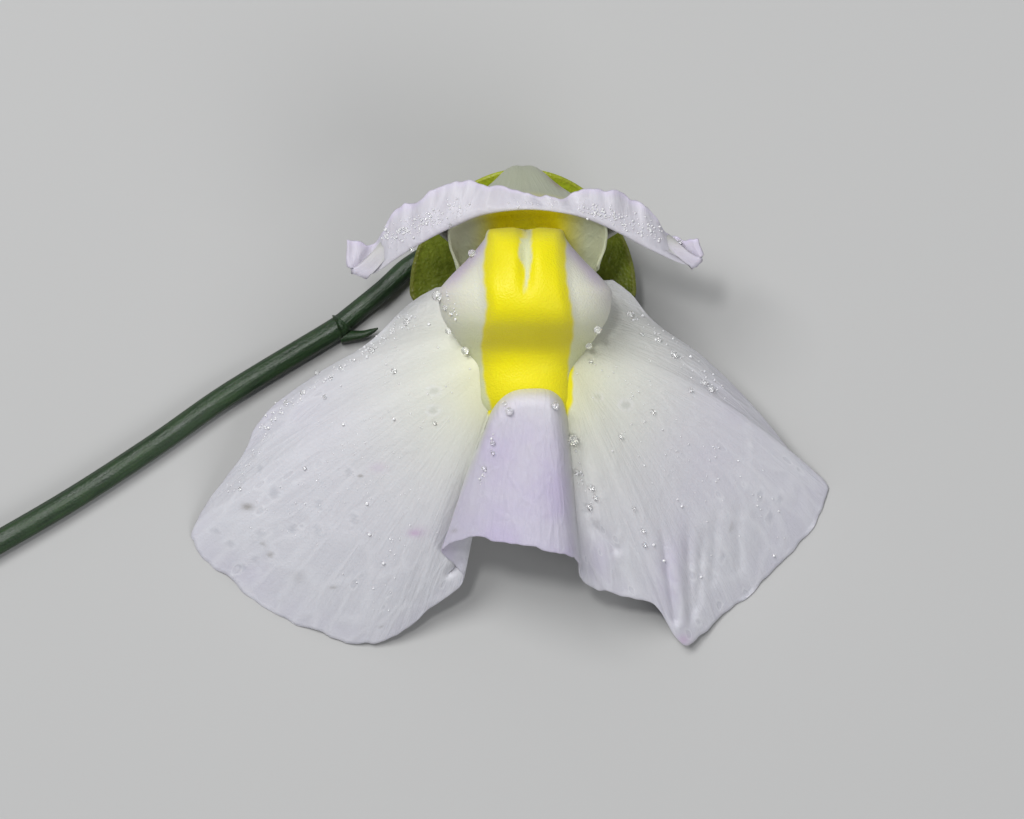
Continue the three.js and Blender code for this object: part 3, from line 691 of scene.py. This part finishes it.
def buildUpperLip():
    columns, rows = 300, 150
    u, v = np.meshgrid(np.linspace(0, 1, columns), np.linspace(0, 1, rows))
    front = upperLipSurface(u.ravel(), v.ravel()).reshape(rows, columns, 3)
    thinner = upperLip["thickness"] - upperLip["rimThickness"]
    thickness = upperLip["thickness"] - thinner * smooth(v, 0.75, 1)
    points, faces, source = leaf(front, thickness)
    x, y = front[..., 0], front[..., 1]
    inThroat = smooth(v, 0.6, 0.7) * (1 - smooth(v, 0.74, 0.8))
    brown = sum(np.clip(1.4 * stroke(x, y, edge), 0, 1) for edge in upperLip["edges"])
    values = {
        "green": 1 - smooth(v, 0.62, 0.8),
        "lilac": 0.14 + 0.6 * smooth(v, 0.96, 1.0) + 0.35 * smooth(np.abs(u - 0.5), 0.41, 0.45),
        "yellow": 0.5 * smooth(3.4 - np.abs(x - 0.4), 0.0, 1.6) * inThroat,
        "outer": smooth(v, 0.7, 0.85),
        "stain": 0.8 * (1 - smooth(v, 0.5, 0.6)) * brown,
        "speck": 0 * u, "spotInside": 0 * u, "spotRim": 0 * u,
    }
    count = rows * columns
    surfaces["upperLip"] = points[:count], points[:count] - points[count:2 * count]
    makePiece("upper_lip", points, faces, petalMaterial("upperLipTissue", upperLip["look"]),
              ["upper_lip"], onLeaf(values, [u, v, 0 * u], source))
    print("upper lip made")


throat = {
    # front rim of the throat from its left foot over the roof to its right foot, and the line deep inside
    "rim": [[-2.95, 7.1, 8.6], [-3.4, 8.2, 9.6], [-3.3, 9.15, 10.6], [-1.8, 9.85, 11.15], [0.3, 10.05, 11.35],
            [2.5, 9.9, 11.15], [4.05, 9.2, 10.6], [4.15, 8.2, 9.6], [3.75, 7.2, 8.6]],
    "deep": [[-2.4, 6.5, 7.0], [-2.0, 7.1, 7.2], [-1.4, 7.6, 7.5], [-0.8, 7.9, 7.8], [0.3, 8.1, 7.9],
             [1.5, 7.9, 7.8], [2.1, 7.6, 7.5], [2.7, 7.1, 7.2], [3.1, 6.5, 7.0]],
    "swell": 0.3, "centre": [0.4, 6.5, 9.0], "thickness": 0.14,
    "look": {
        "white": (0.58, 0.59, 0.52, 1), "green": (0.50, 0.55, 0.26, 1), "lilac": (0.50, 0.42, 0.58, 1),
        "pale": (0.7, 0.7, 0.66, 1), "streakColour": (0.88, 0.89, 0.82, 1), "spotColour": (0.9, 0.9, 0.9, 1),
        "stain": (0.24, 0.17, 0.10, 1), "speck": (0.75, 0.75, 0.70, 1), "yellow": (0.74, 0.65, 0.0, 1),
        "streak": 0.3, "net": 0.1, "spot": 0.1, "veinCount": 60.0, "veinLength": 3.0,
        "spotsAcross": 20.0, "spotsOut": 4.0, "spotShare": 0.1, "roughness": 0.45, "bump": 0.3,
        "glow": 0.25, "sheen": 0.05,
    },
}


def buildThroat():
    # straight lines from the rim to the deep line, v = 0 to 1, swollen outwards by swell * sin(pi v)
    columns, rows = 160, 40
    u, v = np.meshgrid(np.linspace(0, 1, columns), np.linspace(0, 1, rows))
    rim, deep = curveAt(throat["rim"], u.ravel()), curveAt(throat["deep"], u.ravel())
    front = rim + (deep - rim) * v.reshape(-1, 1)
    away = unit((front - throat["centre"]) * [1, 1, 0])
    front = (front + away * throat["swell"] * np.sin(np.pi * v).reshape(-1, 1)).reshape(rows, columns, 3)
    front = front[:, ::-1]
    points, faces, source = leaf(front, throat["thickness"] + 0 * u)
    values = {"green": 0.5 + 0 * u, "yellow": smooth(3.1 - np.abs(front[..., 0] - 0.4), 0.0, 1.8)}
    for plain in ("lilac", "outer", "stain", "speck", "spotInside", "spotRim"):
        values[plain] = 0 * u
    makePiece("throat", points, faces, petalMaterial("throatTissue", throat["look"]),
              ["upper_lip"], onLeaf(values, [u, v, 0 * u], source))
    print("throat made")


sepals = {
    # widest level, half width, reach beyond and short of that level, height, curl across and lengthways
    "upper": {"widestY": 6.0, "halfWidth": 5.65, "beyond": 6.1, "short": 2.0,
              "base": 2.0, "curl": 0.9, "tipCurl": 2.3},
    "lower": {"widestY": 3.7, "halfWidth": 4.9, "beyond": -4.6, "short": -1.2,
              "base": 1.95, "curl": 0.5, "tipCurl": -0.8},
    "thickness": 0.35, "wave": 0.05,
    "look": {
        # dark and green are the olive skin darkened as painted shade; the tip colour is painted light
        "dark": (0.115, 0.145, 0.010, 1), "green": (0.20, 0.245, 0.018, 1), "paintedTipLight": (0.42, 0.49, 0.02, 1),
        "edge": (0.16, 0.10, 0.03, 1), "vein": (0.72, 0.78, 0.5, 1),
    },
}


def sepalMaterial(look):
    # olive skin in cloudy patches, darkened as painted shade and brighter towards the tip as painted light,
    # with fan veins, a darker edge and domed cells
    material, tree, shader = newMaterial("sepalTissue", **{
        "Subsurface Weight": 0.15, "Subsurface Scale": 0.0005, "Subsurface Radius": (0.6, 1.0, 0.2),
        "IOR": 1.42, "Sheen Weight": 0.06, "Sheen Roughness": 0.5,
    })
    clouds = useGroup(tree, skin, {"Cells": 6500.0, "Clouds": 900.0})
    patches = useGroup(tree, skin, {"Cells": 12000.0, "Clouds": 3200.0})
    vein = useGroup(tree, veins, {"Flow": attribute(tree, "flow", "Vector"), "Count": 26.0, "Length": 2.5})
    tone = maths(tree, "MULTIPLY_ADD", patches["Tone"], 0.45, maths(tree, "MULTIPLY", clouds["Tone"], 0.55))
    colour = mixed(tree, tone, look["dark"], look["green"])
    # painted light on the tip, by the attribute tip
    paintedTipShare = maths(tree, "MULTIPLY", attribute(tree, "tip"), maths(tree, "MULTIPLY_ADD", tone, 0.3, 0.7))
    colour = mixed(tree, paintedTipShare, colour, look["paintedTipLight"])
    colour = mixed(tree, maths(tree, "MULTIPLY", vein["Fine"], 0.35), colour, look["vein"], "MULTIPLY")
    colour = mixed(tree, attribute(tree, "edge"), colour, look["edge"])
    tree.links.new(colour, shader.inputs["Base Color"])
    tree.links.new(maths(tree, "MULTIPLY_ADD", tone, 0.18, 0.34), shader.inputs["Roughness"])
    relief = maths(tree, "MULTIPLY_ADD", vein["Fine"], 0.7, clouds["Height"])
    bump = put(tree, "Bump", {"Height": relief, "Distance": 0.00005, "Strength": 0.5})
    tree.links.new(bump.outputs[0], shader.inputs["Normal"])
    return material


def buildSepal(name, shape, material):
    # a square s, t in -1..1 squeezed to a disc, across = s sqrt(1 - t^2/2) and along = t sqrt(1 - s^2/2),
    # with height = base + curl across^2 + tip curl max(0, along)^2
    columns, rows = 150, 150
    s, t = np.meshgrid(np.linspace(-1, 1, columns), np.linspace(-1, 1, rows))
    across, along = s * np.sqrt(1 - t**2 / 2), t * np.sqrt(1 - s**2 / 2)
    reach = np.hypot(across, along)
    around = np.arctan2(across, along) / (2 * np.pi)
    x = middle + shape["halfWidth"] * across
    y = shape["widestY"] + np.where(along > 0, shape["beyond"], shape["short"]) * along
    z = shape["base"] + shape["curl"] * across**2 + shape["tipCurl"] * np.maximum(0, along) ** 2
    z += sepals["wave"] * smooth(reach, 0.5, 1) * ripple(around, [(5, 0.2, 1), (11, 0.6, 0.6)])
    front = np.stack([x, y, z], -1)
    if shape["beyond"] > 0:
        front = front[:, ::-1]
        across, reach, along = across[:, ::-1], reach[:, ::-1], along[:, ::-1]
    thin = sepals["thickness"] * (1 - 0.35 * smooth(reach, 0.7, 1))
    points, faces, source = leaf(front, thin)
    fan = np.arctan2(across, along + 1.6)
    # tip: how much painted light the tip takes
    values = {"tip": smooth(along * abs(shape["beyond"]), 3.6, 5.0), "edge": 0.25 * smooth(reach, 0.965, 1.0)}
    values = onLeaf(values, [fan, reach, 0 * fan], source)
    makePiece(name, points, faces, material, [name], values)


def stemMaterial(name, look):
    # smooth skin with long streaks; the attribute cut shows the pale pith of a cut end, or a coloured tip
    material, tree, shader = newMaterial(name, **{
        "IOR": 1.45, "Subsurface Weight": 0.08, "Subsurface Scale": 0.0004, "Coat Weight": look["coat"],
        "Coat Roughness": 0.2,
    })
    around = attribute(tree, "around", "Vector")
    long = times(tree, around, (5.0, 5.0, look["streaks"]))
    noise = put(tree, "TexNoise", {"Vector": long, "Scale": 1.0, "Detail": 4.0})
    streak = spread(tree, noise.outputs[0], 0.3, 0.7)
    grain = useGroup(tree, skin, {"Cells": 8000.0, "Clouds": 900.0})
    tone = maths(tree, "MULTIPLY_ADD", streak, 0.6, maths(tree, "MULTIPLY", grain["Tone"], 0.4))
    colour = mixed(tree, tone, look["dark"], look["green"])
    colour = mixed(tree, attribute(tree, "cut"), colour, look["tip"])
    tree.links.new(colour, shader.inputs["Base Color"])
    tree.links.new(maths(tree, "MULTIPLY_ADD", tone, 0.16, look["roughness"]), shader.inputs["Roughness"])
    relief = maths(tree, "MULTIPLY_ADD", streak, 1.0, grain["Height"])
    bump = put(tree, "Bump", {"Height": relief, "Distance": 0.00005, "Strength": 0.28})
    tree.links.new(bump.outputs[0], shader.inputs["Normal"])
    return material


stems = {
    # each a curve with its radius at t = 0 to 1 along it; rings and sides set how finely it is made, ridges
    # and depth its ribs, and from tipFrom on it takes the look's tip colour
    "peduncle": {
        "line": stalk["line"] + [[-9.3, 4.2, 0.62]],
        "radius": [[0, stalk["radius"]], [0.9, 0.58], [0.965, 0.66], [1, 0.5]],
        "slot": "stalk", "rings": 420, "sides": 56, "ridges": 7, "depth": 0.02, "cutStart": True,
    },
    "pedicel": {
        "line": [[-9.33, 4.17, 0.6], [-7, 6.05, 0.56], [-5.6, 7.3, 0.52], [-4, 8.1, 0.55], [-2.2, 7.9, 0.58],
                 [-0.6, 6.5, 0.65], [0.1, 5.1, 0.8]],
        "radius": [[0, 0.5], [0.6, 0.51], [1, 0.55]],
        "slot": "stalk", "rings": 240, "sides": 40, "ridges": 6, "depth": 0.02,
    },
    "bract": {
        "line": [[-9.1, 3.7, 0.55], [-8.62, 3.75, 0.56], [-8.0, 3.82, 0.62], [-7.5, 4.0, 0.7],
                 [-7.2, 4.15, 0.75]],
        "radius": [[0, 0.34], [0.3, 0.27], [0.7, 0.15], [1, 0.04]],
        "slot": "stalk", "rings": 70, "sides": 28, "ridges": 3, "depth": 0.05,
    },
    "spur": {
        "line": [[0.15, 6.35, 6.05], [0.15, 6.05, 5.4], [0.15, 5.4, 4.6], [0.15, 4.4, 4.0], [0.15, 2.1, 3.5],
                 [0.15, -0.5, 3.2], [0.15, -2.9, 3.3]],
        "radius": [[0, 2.1], [0.12, 1.75], [0.3, 1.35], [0.6, 1.0], [0.85, 0.7], [0.96, 0.45], [1, 0.2]],
        "slot": "spur", "rings": 160, "sides": 90, "ridges": 5, "depth": 0.012, "tipFrom": 0.7,
    },
    "pistil": {
        "line": [[0.15, 5.2, 4.8], [0.15, 5.6, 5.35], [0.15, 6.05, 6.0], [0.15, 6.4, 6.5]],
        "radius": [[0, 0.5], [0.12, 0.66], [0.35, 0.7], [0.6, 0.42], [0.75, 0.24], [0.88, 0.3], [1, 0.16]],
        "slot": "pistil", "rings": 60, "sides": 36, "ridges": 4, "depth": 0.02, "tipFrom": 0.7,
    },
    "looks": {
        # stalk (also pedicel and bract): dark green skin, darkened to near black as painted shade
        "stalk": {"dark": (0.008, 0.022, 0.008, 1), "green": (0.022, 0.052, 0.015, 1),
                  "tip": (0.30, 0.38, 0.16, 1), "roughness": 0.42, "coat": 0.04, "streaks": 18.0},
        "spur": {"dark": (0.46, 0.47, 0.40, 1), "green": (0.58, 0.56, 0.60, 1),
                 "tip": (0.42, 0.46, 0.22, 1), "roughness": 0.46, "coat": 0.0, "streaks": 3.0},
        "pistil": {"dark": (0.22, 0.30, 0.05, 1), "green": (0.36, 0.42, 0.12, 1),
                   "tip": (0.50, 0.42, 0.20, 1), "roughness": 0.4, "coat": 0.05, "streaks": 3.0},
        "stamen": {"dark": (0.50, 0.48, 0.40, 1), "green": (0.62, 0.60, 0.50, 1),
                   "tip": (0.66, 0.54, 0.10, 1), "roughness": 0.5, "coat": 0.0, "streaks": 3.0},
    },
}
stamens = {
    "out": [[0.8, 5.55, 5.2], [0.95, 5.8, 5.6], [1.0, 6.1, 5.98], [0.8, 6.4, 6.35]],  # [out, y, z]
    "radius": [[0, 0.2], [0.55, 0.2], [0.72, 0.34], [0.88, 0.36], [1, 0.12]],
    "slot": "stamen", "rings": 50, "sides": 24, "ridges": 2, "depth": 0.03, "tipFrom": 0.6,
}


def buildStem(name, line, shape, material):
    # radius(t, angle) = radius(t) * (1 + depth * cos(ridges * angle + 2 t)), so the ribs twist slowly
    t = np.linspace(0, 1, shape["rings"])
    angle = np.linspace(0, 2 * np.pi, shape["sides"], endpoint=False)[None] + 0 * t[:, None]
    radius = heightsAt(shape["radius"], t)[:, None]
    radius = radius * (1 + shape["depth"] * np.cos(shape["ridges"] * angle + 2 * t[:, None]))
    sideways = (0, 0, 1) if shape["slot"] == "stalk" else (1, 0, 0)
    points, faces = ringBody(tubeRings(line, t, radius, angle, sideways))
    around = np.stack([np.cos(angle), np.sin(angle), t[:, None] + 0 * angle], -1).reshape(-1, 3)
    around = np.vstack([around, [[0, 0, 0], [0, 0, 1]]])
    cut = 0 * around[:, 2]
    if "tipFrom" in shape:
        cut = smooth(around[:, 2], shape["tipFrom"], 1.0) * 0.8
    if shape.get("cutStart"):
        cut[-2] = 1
    makePiece(name, points, faces, material, [name], {"around": around, "cut": cut})


def buildStems():
    made = {name: stemMaterial(name + "Tissue", look) for name, look in stems["looks"].items()}
    for name in ("peduncle", "pedicel", "bract", "spur", "pistil"):
        buildStem(name, stems[name]["line"], stems[name], made[stems[name]["slot"]])
    for name, side in (("left_stamen", -1), ("right_stamen", 1)):
        line = [[middle + side * out, y, z] for out, y, z in stamens["out"]]
        buildStem(name, line, stamens, made["stamen"])
    print("stalk, spur and inner parts made")


dew = {
    "sink": 0.3,  # how much of its radius each bead stands in the petal
    "near": 0.14,  # how far off a bead looks for its highest point
    "clearOver": 0.095,  # beads over this radius are rounder and clearer, the rest are spray, mostly white as painted glints
    "beads": [  # [x, y, radius]
        [2.75, -1.5, 0.28], [2.9, -3.15, 0.15], [3.45, -3.9, 0.16], [3.65, -4.45, 0.13],
        [3.35, -4.85, 0.14], [1.75, 0.1, 0.2], [-0.65, 0.0, 0.2], [-0.8, 0.35, 0.12], [-1.45, -1.65, 0.13],
        [-1.4, -2.2, 0.12], [-1.85, -2.95, 0.13], [-2.4, 7.75, 0.2], [-3.6, 6.95, 0.16],
        [-3.85, 6.55, 0.13], [-4.05, 5.5, 0.26], [-3.75, 4.95, 0.13], [-3.5, 4.7, 0.1], [-3.6, 3.9, 0.16],
        [-2.75, 2.95, 0.2], [3.85, 3.95, 0.2], [3.45, 3.15, 0.17], [3.6, 2.45, 0.11], [3.8, 7.05, 0.12],
        [-5.75, 4.45, 0.17], [-7.5, 3.0, 0.16], [-6.35, 2.0, 0.15], [-9.85, 0.75, 0.12],
        [-11.8, 0.45, 0.14], [-9.05, 2.2, 0.11], [-10.3, 1.95, 0.13], [-9.5, 1.65, 0.11],
        [-10.95, 0.95, 0.12], [-12.75, -0.95, 0.09], [-14.2, -4.1, 0.1], [-10.85, -2.95, 0.1],
        [-8.85, -0.65, 0.09], [-6.35, -0.35, 0.09], [-4.3, -0.65, 0.1], [-4.6, 4.35, 0.09],
        [-7.6, -6.3, 0.09], [-6.95, -7.7, 0.09], [-7.75, -4.65, 0.09], [5.55, 4.85, 0.16], [7.0, 3.6, 0.13],
        [7.75, 2.8, 0.16], [6.1, 3.85, 0.1], [6.65, 0.0, 0.12], [5.05, -1.35, 0.11], [8.55, 1.1, 0.11],
        [9.25, 1.45, 0.14], [9.65, 1.1, 0.15], [5.7, -4.95, 0.1], [8.2, -4.9, 0.08], [6.15, -6.15, 0.1],
        [6.35, -6.8, 0.11], [6.8, -6.8, 0.09], [7.3, -7.6, 0.08], [9.15, -8.45, 0.08], [12.95, -7.5, 0.08],
        [-5.45, 7.85, 0.12], [-3.45, 9.0, 0.1], [7.85, 8.4, 0.12], [-5.3, 5.9, 0.13], [5.55, 6.45, 0.13],
    ],
    # fine spray along lines: [start x, y, end x, y, spread, beads, smallest and largest radius]
    "spray": [
        [-5.2, 4.9, -13.2, -0.7, 0.35, 110, 0.03, 0.09], [-12.6, -0.4, -14.8, -4.2, 0.35, 26, 0.03, 0.07],
        [5.6, 5.0, 10.2, 1.0, 0.45, 46, 0.03, 0.08], [-7.0, 8.4, -3.0, 10.3, 0.5, 150, 0.03, 0.07],
        [3.2, 10.1, 7.0, 8.7, 0.5, 130, 0.03, 0.07], [-1.0, 10.3, 2.0, 10.2, 0.25, 16, 0.025, 0.05],
        [-4.0, 2.0, -13.5, -6.5, 2.6, 90, 0.025, 0.055], [4.0, 2.0, 12.5, -6.0, 2.3, 80, 0.025, 0.055],
        [-1.4, -1.2, -2.1, -3.8, 0.12, 12, 0.03, 0.08], [2.7, -1.6, 3.6, -5.4, 0.14, 16, 0.03, 0.08],
        [-6.0, -2.0, -7.0, -10.0, 1.6, 34, 0.025, 0.05], [-3.9, 6.4, -3.2, 4.2, 0.2, 10, 0.04, 0.09],
    ],
}


def ball(rings, sides):
    # unit sphere from rings of sides points with a pole at each end
    polar = np.pi * np.arange(1, rings + 1) / (rings + 1)
    angle = np.linspace(0, 2 * np.pi, sides, endpoint=False)
    body = np.stack([np.outer(np.sin(polar), np.cos(angle)), np.outer(np.sin(polar), np.sin(angle)),
                     np.outer(np.cos(polar), np.ones(sides))], -1)
    points, faces = ringBody(body)
    points[-2], points[-1] = (0, 0, 1), (0, 0, -1)
    return points, faces


def buildDew():
    # each bead is a ball whose middle stands (1 - sink) radii off the topmost surface at its place
    grounds = np.vstack([points for points, away in surfaces.values()])
    normals = unit(np.vstack([away for points, away in surfaces.values()]))
    normals *= np.where(normals[:, 2:] < 0, -1.0, 1.0)
    beads = list(dew["beads"])
    for startX, startY, endX, endY, wide, count, small, large in dew["spray"]:
        share, size = rng.random(count), small + (large - small) * rng.random(count) ** 2
        aside = rng.normal(0, wide / 2, (count, 2))
        beads += np.column_stack([startX + share * (endX - startX) + aside[:, 0],
                                  startY + share * (endY - startY) + aside[:, 1], size]).tolist()
    # the white, diffuse share of each bead is painted light: it makes up for the shadow a clear drop casts on
    # the petal under it, and on the spray it stands in for glints
    water = newMaterial("dewWater", **{
        "Base Color": (1, 1, 1, 1), "Transmission Weight": 0.8, "IOR": 1.33, "Roughness": 0.02,
    })[0]
    sprayGlints, tree, shader = newMaterial("sprayPaintedGlints", **{
        "Base Color": (0.95, 0.95, 0.97, 1), "Transmission Weight": 0.3, "IOR": 1.33, "Coat Weight": 0.6,
        "Coat Roughness": 0.05,
    })
    tone = useGroup(tree, skin, {"Cells": 3000.0, "Clouds": 2500.0})["Tone"]
    tree.links.new(mixed(tree, tone, (0.86, 0.86, 0.88, 1), (1, 1, 1, 1)), shader.inputs["Base Color"])
    kinds = {"dew": (ball(11, 18), water, [], []), "dew_spray": (ball(4, 7), sprayGlints, [], [])}
    for x, y, radius in beads:
        aside, along = np.abs(grounds[:, :2] - [x, y]).T
        near = np.flatnonzero((aside < dew["near"]) & (along < dew["near"]))
        if not len(near):
            continue
        best = near[np.argmax(grounds[near, 2])]
        kind = "dew" if radius > dew["clearOver"] else "dew_spray"
        (drop, dropFaces), material, points, faces = kinds[kind]
        total = len(points) * len(drop)
        points.append(grounds[best] + normals[best] * radius * (1 - dew["sink"]) + drop * radius)
        faces += [[k + total for k in face] for face in dropFaces]
    for name, (_, material, points, faces) in kinds.items():
        makePiece(name, np.vstack(points), faces, material)
    print("dew made,", len(beads), "beads")


stage = {
    "floorSize": 3000, "floorColour": (0.44, 0.44, 0.435, 1),
    "lights": [  # name, place, width, watts
        ["softKey", [-130, 150, 350], 160, 1.08], ["softFill", [200, -190, 310], 260, 0.45],
        ["smallKey", [-50, 80, 400], 40, 0.42],
    ],
    "lightsAim": 6, "sky": (0.9, 0.93, 1.0, 1), "skyStrength": 0.22,
}


def buildFloor():
    half = stage["floorSize"] / 2
    mesh = bpy.data.meshes.new("floor")
    corners = np.array([[-half, -half, 0], [half, -half, 0], [half, half, 0], [-half, half, 0]]) * metre
    mesh.from_pydata(corners.tolist(), [], [[0, 1, 2, 3]])
    floor = bpy.data.objects.new("floor", mesh)
    bpy.context.scene.collection.objects.link(floor)
    paint = {"Base Color": stage["floorColour"], "Roughness": 0.9}
    mesh.materials.append(newMaterial("floorPaint", **paint)[0])


def addLight(name, place, size, power):
    light = bpy.data.lights.new(name, "AREA")
    light.shape, light.size, light.energy = "DISK", size * metre, power
    lamp = bpy.data.objects.new(name, light)
    bpy.context.scene.collection.objects.link(lamp)
    target = np.array([shift[0], shift[1], stage["lightsAim"]]) * metre
    lamp.location = (np.array(place, float) + [shift[0], shift[1], 0]) * metre
    lamp.rotation_mode = "QUATERNION"
    lamp.rotation_quaternion = (lamp.location - type(lamp.location)(target)).to_track_quat("Z", "Y")


def buildStage():
    buildFloor()
    for lamp in stage["lights"]:
        addLight(*lamp)
    world = bpy.data.worlds.new("studio")
    world.use_nodes = True
    sky = world.node_tree.nodes["Background"]
    sky.inputs["Color"].default_value = stage["sky"]
    sky.inputs["Strength"].default_value = stage["skyStrength"]
    bpy.context.scene.world = world
    bpy.context.scene.view_settings.view_transform = "Standard"


cameraSet = {
    # how wide a strip it sees, at which height, and the middle of the view
    "lens": 250, "sensor": 36, "acrossView": 51.2, "viewHeight": 6, "middle": (-0.4, 0.025),
}


def buildCamera():
    data = bpy.data.cameras.new("camera")
    data.lens, data.sensor_width = cameraSet["lens"], cameraSet["sensor"]
    distance = cameraSet["acrossView"] * cameraSet["lens"] / cameraSet["sensor"]
    camera = bpy.data.objects.new("camera", data)
    x, y = np.array(cameraSet["middle"]) + shift[:2]
    camera.location = np.array([x, y, cameraSet["viewHeight"] + distance]) * metre
    data.clip_start, data.clip_end = 0.01, 10
    bpy.context.scene.collection.objects.link(camera)
    bpy.context.scene.camera = camera


buildLowerLip()
buildPalate()
buildUpperLip()
buildThroat()
tissue = sepalMaterial(sepals["look"])
buildSepal("upper_sepal", sepals["upper"], tissue)
buildSepal("lower_sepal", sepals["lower"], tissue)
buildStems()
buildDew()
buildStage()
buildCamera()
print("stage and camera made")
